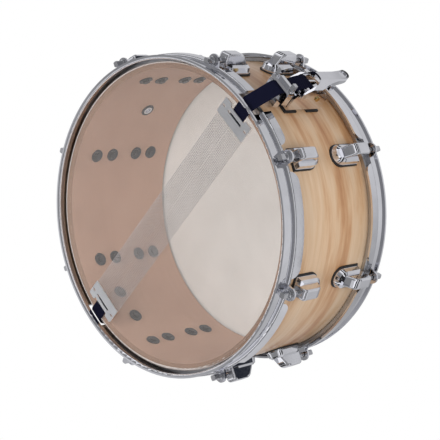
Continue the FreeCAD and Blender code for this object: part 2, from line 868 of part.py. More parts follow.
def make_strainer_base():
    """The chromed channel on two feet that the carriage slides in."""
    body = new_body("strainer_base")
    pivot = (S.pivot_out, S.pivot_level)
    wing = as_size(5.5)
    side_block(body, "channel", [
        (182, -27),
        (S.pivot_out - 6, -27),
        (S.pivot_out, S.pivot_level - wing),
        Bend((S.pivot_out + wing, S.pivot_level), pivot),
        (206, -4),
        (206, 18),
        Bend((194, 31), (193, 18)),
        (182, 31),
    ], 2 * S.housing_half)
    blocks = [(-9, 9, low + 1, high - 1) for low, high in STRAINER_PADS]
    face_pad(body, "feet", blocks, STRAINER_FACE, S.housing_back - STRAINER_FACE)
    inside = S.housing_half - S.housing_wall
    well = new_sketch(body, "well_outline", "XY_Plane", height(-30))
    draw_outline(well, rectangle(-inside, inside, outside(230), outside(S.housing_back)))
    pocket(body, "well", well, 58, backwards=True)
    side_bore(body, "pivot_bore", S.pivot_out, S.pivot_level, S.pivot_radius + S.fit)
    side_bore(body, "guide_bore", GUIDE_OUT, GUIDE_LEVEL, GUIDE_RADIUS)
    holes = new_sketch(body, "screw_circles", "XZ_Plane", STRAINER_FACE - 1)
    for level in STRAINER_SCREW_LEVELS:
        draw_circle(holes, 0, height(level), S.screw_radius)
    body.Tip = pocket(body, "screw_holes", holes, 5, backwards=True)
    finished(body)


def make_guide_pins():
    """Brass pins through the channel's cheeks that keep the carriage straight."""
    body = new_body("guide_pins")
    for name, start in (("left", -12.2), ("right", 7.6)):
        sketch = new_sketch(body, f"{name}_circle", "YZ_Plane", start)
        draw_circle(sketch, outside(GUIDE_OUT), height(GUIDE_LEVEL), GUIDE_RADIUS)
        pad(body, f"{name}_pin", sketch, 4.6)
    for name, start in (("left", -12.6), ("right", 11.2)):
        sketch = new_sketch(body, f"{name}_head_circle", "YZ_Plane", start)
        draw_circle(sketch, outside(GUIDE_OUT), height(GUIDE_LEVEL), GUIDE_RADIUS + 1.1)
        pad(body, f"{name}_head", sketch, 1.4)
    finished(body)


def make_mount_screws(label, places, end, seat):
    """Screws with washers, from inside the shell into a foot or plate."""
    body = new_body(label)
    reach = STRAINER_FACE + 3.9
    outwards = end == FRONT
    for name, start, length, radius in (
            ("head", seat - 3.6, 2.4, 4.2),
            ("washer", seat - 1.2, 1.2, S.screw_washer),
            ("shank", seat - 2, reach - (seat - 2), S.screw_radius)):
        plane = start if outwards else -as_size(start)
        sketch = new_sketch(body, f"{name}_circles", "XZ_Plane", plane)
        for x, level in places:
            draw_circle(sketch, x, height(level), radius)
        pad(body, name, sketch, length, backwards=not outwards)
    finished(body)


def make_lever():
    """The throw-off lever: two arms on the pivot, a hollow wedge and a dished thumb tip."""
    body = new_body("throw_lever")
    pivot = (S.pivot_out, S.pivot_level)
    side_block(body, "lever_side", [
        Bend((200.2, -12.5), pivot, True),
        (213.4, 2.6),
        (LEVER_REAR, 6),
        (LEVER_REAR, 30),
        Bend((LEVER_REAR + 7.8, TIP_LEVEL + 8), (LEVER_REAR + 40.8, 30), True),
        (LEVER_FRONT + 3, TIP_LEVEL + 8),
        Bend((LEVER_FRONT - 0.3, 24), (LEVER_FRONT + 137.7, 24)),
        (LEVER_FRONT, 3),
        (220.5, -1.5),
        (208.6, -19.6),
    ], 2 * S.lever_half)
    for name, hand in (("left", -1), ("right", 1)):
        slope = new_sketch(body, f"{name}_slope_outline", "XY_Plane")
        draw_outline(slope, [
            (hand * (S.lever_half + 0.02), outside(LEVER_REAR)),
            (hand * LEVER_CREST, outside(LEVER_FRONT)),
            (hand * (LEVER_CREST + 1.7), outside(LEVER_FRONT + 10)),
            (hand * (S.lever_half + 6), outside(LEVER_FRONT + 10)),
            (hand * (S.lever_half + 6), outside(LEVER_REAR)),
        ])
        pocket(body, f"{name}_slope", slope, midplane=True)
        waist = new_sketch(body, f"{name}_waist_outline", "XZ_Plane", LEVER_FRONT + 10)
        draw_outline(waist, [
            (hand * TIP_HALF, height(WAIST_TOP)),
            (hand * TIP_HALF, height(TIP_LEVEL)),
            Bend((0, height(TIP_LEVEL + TIP_HALF)), (0, height(TIP_LEVEL)), hand < 0),
            (0, height(TIP_LEVEL + 12)),
            (hand * (S.lever_half + 6), height(TIP_LEVEL + 12)),
            (hand * (S.lever_half + 6), height(WAIST_BOTTOM)),
            (hand * (TIP_HALF + WAIST_FLARE), height(WAIST_BOTTOM)),
            (hand * (TIP_HALF + WAIST_FLARE * 0.62), height(WAIST_BOTTOM + 7.5)),
            (hand * (TIP_HALF + WAIST_FLARE * 0.31), height(WAIST_BOTTOM + 15.5)),
            (hand * (TIP_HALF + WAIST_FLARE * 0.08), height(WAIST_BOTTOM + 25.5)),
        ])
        pocket(body, f"{name}_waist", waist, 60)
    inside = S.lever_half - S.lever_plate
    hollow = new_sketch(body, "hollow_outline", "XY_Plane", height(-40))
    draw_outline(hollow, [
        (-inside, outside(180)),
        (-inside, outside(LEVER_REAR)),
        (-LEVER_CREST + 1, outside(LEVER_FRONT - 2.2)),
        (LEVER_CREST - 1, outside(LEVER_FRONT - 2.2)),
        (inside, outside(LEVER_REAR)),
        (inside, outside(180)),
    ])
    pocket(body, "hollow", hollow, WAIST_BOTTOM + 40, backwards=True)
    channel = new_sketch(body, "channel_outline", "XY_Plane", height(WAIST_BOTTOM - 1))
    narrow = LEVER_CREST - 1
    draw_outline(channel, rectangle(-narrow, narrow, outside(LEVER_FRONT - 2.2), outside(180)))
    pocket(body, "channel", channel, TIP_LEVEL - WAIST_BOTTOM - 3, backwards=True)
    arch = new_sketch(body, "arch_circle", "XZ_Plane", LEVER_FRONT + 10)
    draw_circle(arch, 0, height(-6.5), inside - 0.4)
    pocket(body, "arch", arch, 22)
    dish = new_sketch(body, "dish_circle", "XZ_Plane", LEVER_FRONT + 2.5)
    draw_circle(dish, 0, height(TIP_LEVEL), 5)
    pocket(body, "dish", dish, 1.7)
    body.Tip = side_bore(body, "pivot_bore", S.pivot_out, S.pivot_level, S.pivot_radius)
    finished(body)


def make_lever_stop():
    """The block behind the lever that meets the channel's top when the lever is shut."""
    body = new_body("lever_stop")
    outline = box_points(204, LEVER_FRONT - 2.2, TIP_LEVEL - 12, TIP_LEVEL - 6)
    side_block(body, "block", outline, 2 * (LEVER_CREST - 1.2))
    finished(body)


def make_crank():
    """The crankshaft turned by the lever: two stub axles, two webs and the crank pin."""
    body = new_body("throw_crank")
    offset = S.crank_throw * turned(as_size(45), math.cos, "cos")
    pin_out = S.pivot_out + offset
    pin_level = S.pivot_level + offset
    web_gap = as_size(11.2)
    axle = side_sketch(body, "axle_circle")
    draw_circle(axle, outside(S.pivot_out), height(S.pivot_level), S.pivot_radius)
    pad(body, "axle", axle, 2 * S.lever_half, midplane=True)
    web = side_sketch(body, "web_circle")
    middle_out = S.pivot_out + offset / 2
    middle_level = S.pivot_level + offset / 2
    draw_circle(web, outside(middle_out), height(middle_level), 5.6)
    pad(body, "webs", web, 16.4, midplane=True)
    gap = side_sketch(body, "gap_circle")
    draw_circle(gap, outside(S.pivot_out), height(S.pivot_level), 12)
    pocket(body, "web_gap", gap, web_gap, midplane=True)
    pin = side_sketch(body, "pin_circle")
    draw_circle(pin, outside(pin_out), height(pin_level), S.crank_pin)
    body.Tip = pad(body, "crank_pin", pin, web_gap + 1, midplane=True)
    finished(body)


def make_carriage():
    """The block that the crank draws up and down, with the fork that the crank pin runs in."""
    body = new_body("carriage")
    width = as_size(16.8)
    side_block(body, "slab", [
        (185, -32), (197.6, -32), (197.6, -27), (194.5, -26),
        (194.5, 1), (203, 1), (203, 24.5), (185, 24.5),
    ], width)
    offset = S.crank_throw * turned(as_size(45), math.cos, "cos")
    level = S.pivot_level + offset
    prong = S.crank_pin + 0.25 + 2.8
    side_block(body, "fork", box_points(194, 211.5, level - prong, level + prong), 9.6)
    slot = side_sketch(body, "slot_outline")
    reach = S.crank_pin + 0.25
    side_outline(slot, box_points(201, 214, level - reach, level + reach))
    pocket(body, "fork_slot", slot, midplane=True)
    groove_low = GUIDE_LEVEL - GUIDE_RADIUS - S.play
    groove_high = 30
    for name, low_x in (("left", -9), ("right", 7.2)):
        groove = new_sketch(body, f"{name}_groove_outline", "YZ_Plane", low_x)
        wide = GUIDE_RADIUS + S.play
        side_outline(groove, box_points(GUIDE_OUT - wide, GUIDE_OUT + wide,
                                        groove_low, groove_high))
        pocket(body, f"{name}_groove", groove, 1.8, backwards=True)
    bore = new_sketch(body, "screw_bore_circle", "XY_Plane", height(-33))
    draw_circle(bore, 0, outside(S.knob_out), S.screw_radius + S.fit)
    body.Tip = pocket(body, "screw_bore", bore, 22, backwards=True)
    finished(body)


def make_clamp():
    """The strap clamp under the carriage: a jaw, a stepped plate and two key screws."""
    half = S.jaw_half
    top = S.clamp_level + S.clamp_half
    bottom = S.clamp_level - S.clamp_half
    screw_x = S.clamp_screw_x

    jaw = new_body("clamp_jaw")
    side_block(jaw, "arm", box_points(185, 196, bottom, top), 16.8)
    face_pad(jaw, "bar", [(-half, half, bottom, top)], 195.5, 12)
    side_block(jaw, "guide", box_points(198, 200.5, top - 1, -26.5), 9.6)
    bore = new_sketch(jaw, "screw_bore_circle", "XY_Plane", height(bottom - 1))
    draw_circle(bore, 0, outside(S.knob_out), S.screw_radius + S.fit)
    pocket(jaw, "screw_bore", bore, 14, backwards=True)
    holes = new_sketch(jaw, "clamp_hole_circles", "XZ_Plane", 190)
    for x in (-screw_x, screw_x):
        draw_circle(holes, x, height(S.clamp_level), S.screw_radius)
    jaw.Tip = pocket(jaw, "clamp_holes", holes, backwards=True)
    finished(jaw)

    plate = new_body("clamp_plate")
    face_pad(plate, "plate", [(-half, half, bottom, top)], 208.5, 4)
    face_pad(plate, "rib", [(-8.9, 8.9, S.clamp_level, top)], 212.5, 3.4)
    holes = new_sketch(plate, "clamp_hole_circles", "XZ_Plane", 200)
    for x in (-screw_x, screw_x):
        draw_circle(holes, x, height(S.clamp_level), S.screw_radius + 0.1)
    plate.Tip = pocket(plate, "clamp_holes", holes, backwards=True)
    finished(plate)

    make_key_screws("clamp_screws", screw_x, S.clamp_level, 197, 212.5, FRONT)


def make_key_screws(label, screw_x, level, start, seat, end):
    """A pair of drum-key screws pointing into one end's clamp."""
    body = new_body(label)
    outwards = end == FRONT
    steps = (("shank", start, seat + 0.5 - start), ("collar", seat, 1.8))
    for name, plane, length in steps:
        sketch = new_sketch(body, f"{name}_circles", "XZ_Plane", -end * as_size(plane))
        radius = S.screw_radius if name == "shank" else 3.8
        for x in (-screw_x, screw_x):
            draw_circle(sketch, x, height(level), radius)
        pad(body, name, sketch, length, backwards=not outwards)
    keys = new_sketch(body, "key_outlines", "XZ_Plane", -end * as_size(seat + 1.8))
    half = as_size(2.4)
    for x in (-screw_x, screw_x):
        draw_outline(keys, rectangle(x - half, x + half, height(level) - half,
                                     height(level) + half))
    body.Tip = pad(body, "keys", keys, 8, backwards=not outwards)
    finished(body)


def make_tension_knob():
    """The knurled knob and threaded screw that set the strap's height under the carriage."""
    screw = new_body("tension_screw")
    outline = new_sketch(screw, "screw_circle", "XY_Plane", height(S.clamp_level - 7))
    draw_circle(outline, 0, outside(S.knob_out), S.screw_radius)
    pad(screw, "threaded_screw", outline, 40.5)
    finished(screw)

    knob = new_body("tension_knob")
    level = -40.8
    outline = new_sketch(knob, "knob_outline", "XY_Plane", height(level))
    draw_circle(outline, 0, outside(S.knob_out), S.knob_radius)
    draw_circle(outline, 0, outside(S.knob_out), S.screw_radius)
    pad(knob, "knob", outline, 7)
    notch = new_sketch(knob, "notch_circles", "XY_Plane", height(level - 1))
    notches = 16
    for index in range(notches):
        angle = math.radians(index * 360 / notches)
        x = S.knob_radius * math.cos(angle)
        y = outside(S.knob_out) + S.knob_radius * math.sin(angle)
        draw_circle(notch, x, y, 0.55)
    knob.Tip = pocket(knob, "knurl", notch, 9, backwards=True)
    finished(knob)


# ---------------------------------------------------------------- butt plate
def make_butt():
    """The fixed end of the snares: gasket, base, clamp plate and screws."""
    low = height(BUTT_LOW)
    high = height(BUTT_HIGH)
    half = as_size(BUTT_HALF)

    def corner_edge(edge):
        return abs(edge.tangentAt(edge.FirstParameter).y) > 0.99

    gasket = new_body("butt_gasket")
    inner = S.shell_radius - 2.2
    sketch = new_sketch(gasket, "pad_outline", "XZ_Plane", -STRAINER_FACE)
    draw_outline(sketch, rectangle(-half - 1, half + 1, low - 1, high + 1))
    block = pad(gasket, "pad", sketch, STRAINER_FACE - inner)
    soften(gasket, "pad_corners", block, 4, corner_edge)
    curve = new_sketch(gasket, "shell_curve", "XY_Plane")
    draw_circle(curve, 0, 0, S.shell_radius)
    pocket(gasket, "hollowed", curve, midplane=True)
    drill_butt(gasket, S.screw_radius + S.play)
    finished(gasket)

    base = new_body("butt_base")
    sketch = new_sketch(base, "base_outline", "XZ_Plane", -STRAINER_FACE)
    draw_outline(sketch, rectangle(-half, half, low, high))
    block = pad(base, "plate", sketch, BUTT_THICK, backwards=True)
    rounded = soften(base, "plate_corners", block, 4, corner_edge)
    face = STRAINER_FACE.value + BUTT_THICK

    def front_edge(edge):
        return abs(edge.CenterOfMass.y - face) < 0.01

    soften(base, "plate_rim", rounded, 1.5, front_edge)
    sketch = new_sketch(base, "screw_circles", "XZ_Plane", -STRAINER_FACE)
    for x in (-BUTT_SCREW_X, BUTT_SCREW_X):
        draw_circle(sketch, x, height(BUTT_SCREW_LEVEL), S.screw_radius)
    pocket(base, "mount_holes", sketch, 5)
    sketch = new_sketch(base, "clamp_hole_circles", "XZ_Plane", -(STRAINER_FACE + 1))
    for x in (-BUTT_CLAMP_SCREW_X, BUTT_CLAMP_SCREW_X):
        draw_circle(sketch, x, height(BUTT_SCREW_LEVEL), S.screw_radius)
    base.Tip = pocket(base, "clamp_holes", sketch)
    finished(base)

    plate = new_body("butt_clamp")
    plate_half = 17
    plate_thick = 3.2
    inner = STRAINER_FACE + BUTT_THICK + S.strap_thick + 2 * S.play
    sketch = new_sketch(plate, "plate_outline", "XZ_Plane", -inner)
    draw_outline(sketch, rectangle(-plate_half, plate_half, height(-42.5), height(-30.5)))
    block = pad(plate, "plate", sketch, plate_thick, backwards=True)
    soften(plate, "plate_corners", block, 2.5, corner_edge)
    sketch = new_sketch(plate, "screw_circles", "XZ_Plane", -inner)
    for x in (-BUTT_CLAMP_SCREW_X, BUTT_CLAMP_SCREW_X):
        draw_circle(sketch, x, height(BUTT_SCREW_LEVEL), S.screw_radius + 0.1)
    plate.Tip = pocket(plate, "clamp_holes", sketch)
    finished(plate)
    make_key_screws("butt_clamp_screws", as_size(BUTT_CLAMP_SCREW_X), BUTT_SCREW_LEVEL,
                    STRAINER_FACE + 2, inner + plate_thick, REAR)


def drill_butt(body, radius):
    """The two mounting holes of the butt plate."""
    sketch = new_sketch(body, "hole_circles", "XZ_Plane")
    for x in (-BUTT_SCREW_X, BUTT_SCREW_X):
        draw_circle(sketch, x, height(BUTT_SCREW_LEVEL), radius)
    body.Tip = pocket(body, "mount_holes", sketch)


# ---------------------------------------------------------------- snare wires
COIL_LEVEL = FILM_LEVEL + S.play + S.coil_radius
PLATE_LEVEL = COIL_LEVEL + S.coil_radius
STRAP_LEVEL = FILM_LEVEL + S.play + S.strap_thick / 2
PLATE_DEPTH = 17.5
SLOT_DEPTH = 11.9
SLOT_REACH = 1.1
PLATE_SLOTS = ((-22.8, -18.4), (-12.7, 12.7), (18.4, 22.8))
TAB_LENGTH = 3.4
TAB_INSIDE = 13.7


def make_coils():
    """The bundle of coiled wires, each one a plain rod of the coil's outer diameter."""
    body = new_body("snare_coils")
    rear = S.rear_plate_out + 3
    front = S.front_plate_out + 3
    sketch = new_sketch(body, "coil_circles", "XZ_Plane", -rear)
    count = int(S.coil_count.value)
    for index in range(count):
        x = (index - (count - 1) / 2) * S.coil_pitch
        draw_circle(sketch, x, height(COIL_LEVEL, SNARE), S.coil_radius)
    body.Tip = pad(body, "coils", sketch, rear + front)
    finished(body)


def make_end_plate(label, inner_edge, end):
    """A slotted plate that the coils are soldered to and the strap is threaded through."""
    body = new_body(label)
    level = height(PLATE_LEVEL, SNARE)
    half = S.plate_half
    bar = inner_edge + PLATE_DEPTH
    tab = bar + TAB_LENGTH
    corners = [
        (-half, inner_edge), (half, inner_edge), (half, tab - 1.5), (half - 1.5, tab),
        (TAB_INSIDE, tab), (TAB_INSIDE - 1.2, bar), (1.2 - TAB_INSIDE, bar),
        (-TAB_INSIDE, tab), (1.5 - half, tab), (-half, tab - 1.5),
    ]
    sketch = new_sketch(body, "plate_outline", "XY_Plane", level)
    draw_outline(sketch, [(x, end * out) for x, out in corners])
    slot = end * (inner_edge + SLOT_DEPTH)
    for low_x, high_x in PLATE_SLOTS:
        draw_outline(sketch, rectangle(low_x, high_x, slot - SLOT_REACH, slot + SLOT_REACH))
    body.Tip = pad(body, "plate", sketch, S.plate_thick, backwards=True)
    finished(body)


def make_strap(label, end, route):
    """A flat strap swept along its route from the end plate out through the hoop's gate."""
    body = new_body(label)
    spine = new_sketch(body, "route", "YZ_Plane")
    points = [(end * as_size(out), height(level)) for out, level in route]
    for index, (start, stop) in enumerate(zip(points, points[1:])):
        low = FreeCAD.Vector(start[0].value, start[1].value, 0)
        high = FreeCAD.Vector(stop[0].value, stop[1].value, 0)
        spine.addGeometry(Part.LineSegment(low, high), False)
        if index:
            spine.addConstraint(Sketcher.Constraint("Coincident", index - 1, 2, index, 1))
        pin_down(spine, "DistanceX", index, 1, start[0])
        pin_down(spine, "DistanceY", index, 1, start[1])
    last = len(points) - 2
    pin_down(spine, "DistanceX", last, 2, points[-1][0])
    pin_down(spine, "DistanceY", last, 2, points[-1][1])
    section = new_sketch(body, "section", "XZ_Plane", -points[0][0])
    thick = S.strap_thick / 2
    draw_outline(section, rectangle(-S.strap_half, S.strap_half,
                                    points[0][1] - thick, points[0][1] + thick))
    sweep = body.newObject("PartDesign::AdditivePipe", "swept_strap")
    sweep.Profile = section
    sweep.Spine = (spine, [])
    sweep.Transition = "Right corner"
    body.Tip = sweep
    finished(body)


def make_straps():
    """Both straps, from under their end plates to their clamps."""
    over_film = -STRAP_LEVEL
    make_strap("strap_front", FRONT, [
        (S.front_plate_out + 6, over_film), (176.6, over_film), (184, -80.8), (208, -55),
        (208, -40), (213.8, -22), (215.4, -7), (213.8, -2.8), (210.4, -2.4), (208.4, -5.4),
    ])
    run = STRAINER_FACE + BUTT_THICK + S.play + S.strap_thick / 2
    make_strap("strap_rear", REAR, [
        (S.rear_plate_out + 6, over_film), (176.6, over_film), (184, -80.8), (run, -68),
        (run, -24),
    ])


# ---------------------------------------------------------------- build and export
def build_all():
    """Make every sub-part in the order it goes together."""
    make_shell()
    make_vent()
    for name, side in (("batter", BATTER), ("snare", SNARE)):
        make_head(f"{name}_head", side)
        make_flesh_hoop(f"{name}_flesh_hoop", side)
        make_hoop(f"{name}_hoop", side)
        make_lugs(f"{name}_lugs", side)
    make_lug_gaskets()
    make_lug_nuts()
    make_lug_fixings()
    make_rod_washers()
    for name, side in (("batter", BATTER), ("snare", SNARE)):
        for point in range(int(S.tension_points.value)):
            make_rod(f"rod_{name}_{point + 1}", side, point)
    make_strainer_gaskets()
    make_strainer_base()
    make_guide_pins()
    make_mount_screws("strainer_screws", [(0, level) for level in STRAINER_SCREW_LEVELS],
                      FRONT, SHELL_BORE - 0.25)
    make_lever()
    make_lever_stop()
    make_crank()
    make_carriage()
    make_clamp()
    make_tension_knob()
    make_butt()
    make_mount_screws("butt_screws", [(-BUTT_SCREW_X, BUTT_SCREW_LEVEL),
                                      (BUTT_SCREW_X, BUTT_SCREW_LEVEL)],
                      REAR, SHELL_BORE - 2.3)
    make_coils()
    make_end_plate("front_plate", S.front_plate_out, FRONT)
    make_end_plate("rear_plate", S.rear_plate_out, REAR)
    make_straps()


def check_document():
    """Stop if any object failed or any sub-part has no sound shape."""
    for thing in DOC.Objects:
        if "Invalid" in thing.State or "Error" in thing.State:
            raise RuntimeError(f"{thing.FullName} failed: {thing.State}")
    for body in PARTS:
        if body.Shape.isNull() or not body.Shape.isValid() or not body.Shape.Solids:
            raise RuntimeError(f"{body.Label} has no valid solid")


def export_all():
    """Write each sub-part to its own STEP file."""
    os.makedirs("parts", exist_ok=True)
    for body in PARTS:
        body.Shape.exportStep(f"parts/{body.Label}.step")


build_all()
DOC.recompute()
check_document()
export_all()
print(len(PARTS), "sub-parts written")
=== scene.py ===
"""Snare drum: materials, coiled wires, woven straps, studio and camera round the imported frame."""

import json
import math

import bmesh
import bpy
from mathutils import Matrix, Vector


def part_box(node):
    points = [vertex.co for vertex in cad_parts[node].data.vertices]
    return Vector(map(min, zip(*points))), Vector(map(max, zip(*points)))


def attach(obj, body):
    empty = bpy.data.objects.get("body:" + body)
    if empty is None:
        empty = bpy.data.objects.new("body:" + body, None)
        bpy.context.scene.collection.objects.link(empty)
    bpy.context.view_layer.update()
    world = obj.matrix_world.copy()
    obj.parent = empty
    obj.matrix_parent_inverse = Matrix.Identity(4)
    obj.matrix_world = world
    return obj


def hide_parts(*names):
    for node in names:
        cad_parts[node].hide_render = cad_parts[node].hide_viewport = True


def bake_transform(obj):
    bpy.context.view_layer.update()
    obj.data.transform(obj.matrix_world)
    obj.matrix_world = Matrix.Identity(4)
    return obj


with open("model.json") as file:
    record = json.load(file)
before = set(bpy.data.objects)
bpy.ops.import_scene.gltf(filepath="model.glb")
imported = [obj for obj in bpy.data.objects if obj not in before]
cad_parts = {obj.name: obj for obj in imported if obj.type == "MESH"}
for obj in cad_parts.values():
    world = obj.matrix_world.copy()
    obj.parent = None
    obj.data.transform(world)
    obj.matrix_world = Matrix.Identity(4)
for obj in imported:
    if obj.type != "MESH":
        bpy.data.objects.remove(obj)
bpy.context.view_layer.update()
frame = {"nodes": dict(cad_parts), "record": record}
NODES = frame["nodes"]

# The shell's sizes come from the frame, in metres; the tape's thickness is chosen.
SHELL_LOW, SHELL_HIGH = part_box("shell")
SHELL_RADIUS = SHELL_HIGH.x
MIDDLE = (SHELL_LOW.z + SHELL_HIGH.z) / 2
SHELL_DEPTH = SHELL_HIGH.z - SHELL_LOW.z
TAPE_THICK = 0.0003


# ---------------------------------------------------------------- material helpers
class Shader:
    """A node material with short names for the nodes it needs."""

    def __init__(self, name):
        self.material = bpy.data.materials.new(name)
        self.material.use_nodes = True
        self.nodes = self.material.node_tree.nodes
        self.links = self.material.node_tree.links
        self.nodes.clear()
        self.output = self.nodes.new("ShaderNodeOutputMaterial")
        self.place = self.nodes.new("ShaderNodeTexCoord").outputs["Object"]

    def node(self, kind, settings=None, **inputs):
        """A node with its settings and inputs; an input may be a socket or a value."""
        made = self.nodes.new(kind)
        for name, value in (settings or {}).items():
            setattr(made, name, value)
        for name, value in inputs.items():
            socket = made.inputs[name.replace("_", " ")]
            if isinstance(value, bpy.types.NodeSocket):
                self.links.new(value, socket)
            else:
                socket.default_value = value
        return made

    def principled(self, **inputs):
        """The surface shader, joined to the output."""
        surface = self.node("ShaderNodeBsdfPrincipled", **inputs)
        self.links.new(surface.outputs[0], self.output.inputs["Surface"])
        return surface

    def stretched(self, x, y, z):
        """Object coordinates scaled along each axis."""
        return self.node("ShaderNodeMapping", Vector=self.place, Scale=(x, y, z)).outputs[0]

    def noise(self, vector, scale, detail=3.0, roughness=0.5):
        """Noise between 0 and 1."""
        made = self.node("ShaderNodeTexNoise", Vector=vector, Scale=scale, Detail=detail,
                         Roughness=roughness)
        return made.outputs["Fac"]

    def ramp(self, factor, *stops):
        """A colour ramp from (position, colour) stops."""
        made = self.node("ShaderNodeValToRGB", Fac=factor)
        elements = made.color_ramp.elements
        while len(elements) < len(stops):
            elements.new(0.5)
        for element, (position, colour) in zip(elements, stops):
            element.position = position
            element.color = (*colour, 1.0)
        return made.outputs["Color"]

    def range(self, value, low, high, to_low, to_high):
        """A value moved from one range to another, clamped."""
        made = self.node("ShaderNodeMapRange", Value=value)
        made.inputs["From Min"].default_value = low
        made.inputs["From Max"].default_value = high
        made.inputs["To Min"].default_value = to_low
        made.inputs["To Max"].default_value = to_high
        return made.outputs["Result"]

    def blend(self, factor, first, second, kind="MIX"):
        """Two colours mixed by a factor."""
        made = self.node("ShaderNodeMix", {"data_type": "RGBA", "blend_type": kind})
        for index, value in ((0, factor), (6, first), (7, second)):
            if isinstance(value, bpy.types.NodeSocket):
                self.links.new(value, made.inputs[index])
            else:
                made.inputs[index].default_value = value
        return made.outputs[2]

    def maths(self, operation, first, second=0.0):
        """One sum on two values."""
        made = self.node("ShaderNodeMath", {"operation": operation})
        for index, value in enumerate((first, second)):
            if isinstance(value, bpy.types.NodeSocket):
                self.links.new(value, made.inputs[index])
            else:
                made.inputs[index].default_value = value
        return made.outputs[0]

    def bump(self, height, strength, distance):
        """A bumped normal from a height."""
        return self.node("ShaderNodeBump", Height=height, Strength=strength,
                         Distance=distance).outputs[0]

    def polar(self):
        """Radius from the drum axis, and the height, of a point."""
        parts = self.node("ShaderNodeSeparateXYZ", Vector=self.place).outputs
        squares = [self.maths("MULTIPLY", parts[axis], parts[axis]) for axis in (0, 1)]
        radius = self.maths("SQRT", self.maths("ADD", *squares))
        return radius, parts[2]


def plated(name, tone, roughness, wear=0.04):
    """Bright or dulled metal with faint wipe marks and a slight change of tone."""
    shader = Shader(name)
    cloud = shader.noise(shader.place, 60.0, 4.0)
    wipes = shader.noise(shader.stretched(1.0, 1.0, 9.0), 420.0, 3.0)
    darker = tuple(value * (1 - wear * 2) for value in tone)
    colour = shader.ramp(cloud, (0.3, darker), (0.7, tone))
    gloss = shader.range(wipes, 0.35, 0.75, roughness, roughness + wear)
    shader.principled(Base_Color=colour, Metallic=1.0, Roughness=gloss,
                      Normal=shader.bump(wipes, 0.06, 0.00004))
    return shader.material


def moulded(name, tone, roughness):
    """Rubber with a fine moulded grain."""
    shader = Shader(name)
    pores = shader.noise(shader.place, 900.0, 2.0)
    lighter = tuple(value * 1.6 + 0.004 for value in tone)
    colour = shader.ramp(shader.noise(shader.place, 90.0), (0.3, tone), (0.75, lighter))
    shader.principled(Base_Color=colour, Roughness=roughness,
                      Normal=shader.bump(pores, 0.35, 0.00015))
    return shader.material


def maple():
    """The shell: pale streaked maple outside under lacquer, pinker bare maple inside, with painted
    shade on the bearing edges.
    """
    shader = Shader("maple_shell")
    radius, height = shader.polar()
    skin_start = SHELL_RADIUS - 0.0010
    skin_end = SHELL_RADIUS - 0.0006
    outside = shader.range(radius, skin_start, skin_end, 0.0, 1.0)
    drift = shader.noise(shader.stretched(1.0, 1.0, 2.4), 3.4, 2.0)
    streaks = shader.noise(shader.stretched(1.0, 1.0, 8.0), 4.6, 5.0, 0.62)
    figure = shader.maths("ADD", shader.maths("MULTIPLY", streaks, 0.6),
                          shader.maths("MULTIPLY", drift, 0.4))
    grain = shader.noise(shader.stretched(1.0, 1.0, 34.0), 9.0, 6.0, 0.65)
    outer = shader.ramp(figure, (0.40, (0.35, 0.165, 0.07)), (0.455, (0.46, 0.26, 0.13)),
                        (0.515, (0.55, 0.375, 0.235)), (0.60, (0.585, 0.435, 0.30)))
    blotch = shader.noise(shader.stretched(1.0, 1.0, 1.6), 7.0, 3.0)
    inner = shader.ramp(blotch, (0.3, (0.565, 0.37, 0.275)), (0.7, (0.61, 0.415, 0.31)))
    above = shader.maths("ABSOLUTE", shader.maths("SUBTRACT", height, MIDDLE))
    # Painted shade: the bearing edges at both ends are darkened to dark brown for the shadow cast
    # by the hoops and head collars.
    bevel_shade_start = SHELL_DEPTH / 2 - 0.0046
    bevel_shade_end = SHELL_DEPTH / 2 - 0.0038
    bevel_shade = shader.range(above, bevel_shade_start, bevel_shade_end, 0.0, 1.0)
    inner = shader.blend(bevel_shade, inner, (0.27, 0.165, 0.105, 1.0))
    colour = shader.blend(outside, inner, outer)
    lines = shader.ramp(grain, (0.35, (0.82, 0.78, 0.74)), (0.62, (1.0, 1.0, 1.0)))
    strength = shader.range(outside, 0.0, 1.0, 0.2, 0.5)
    colour = shader.blend(strength, colour, lines, "MULTIPLY")
    gloss = shader.range(outside, 0.0, 1.0, 0.62, 0.36)
    coat = shader.range(outside, 0.0, 1.0, 0.0, 0.3)
    shader.principled(Base_Color=colour, Roughness=gloss, Coat_Weight=coat, Coat_Roughness=0.2,
                      Normal=shader.bump(grain, 0.08, 0.0002))
    return shader.material


def coated_film():
    """The batter head: white film with a sprayed, slightly mottled matt coating."""
    shader = Shader("coated_film")
    mottle = shader.noise(shader.place, 38.0, 5.0, 0.6)
    spray = shader.noise(shader.place, 1500.0, 2.0)
    colour = shader.ramp(mottle, (0.3, (0.76, 0.775, 0.77)), (0.7, (0.80, 0.815, 0.81)))
    surface = shader.principled(Base_Color=colour, Roughness=0.6,
                                Normal=shader.bump(spray, 0.08, 0.00005))
    glow = shader.node("ShaderNodeBsdfTranslucent", Color=colour)
    both = shader.node("ShaderNodeMixShader", Fac=0.35)
    shader.links.new(surface.outputs[0], both.inputs[1])
    shader.links.new(glow.outputs[0], both.inputs[2])
    shader.links.new(both.outputs[0], shader.output.inputs["Surface"])
    return shader.material


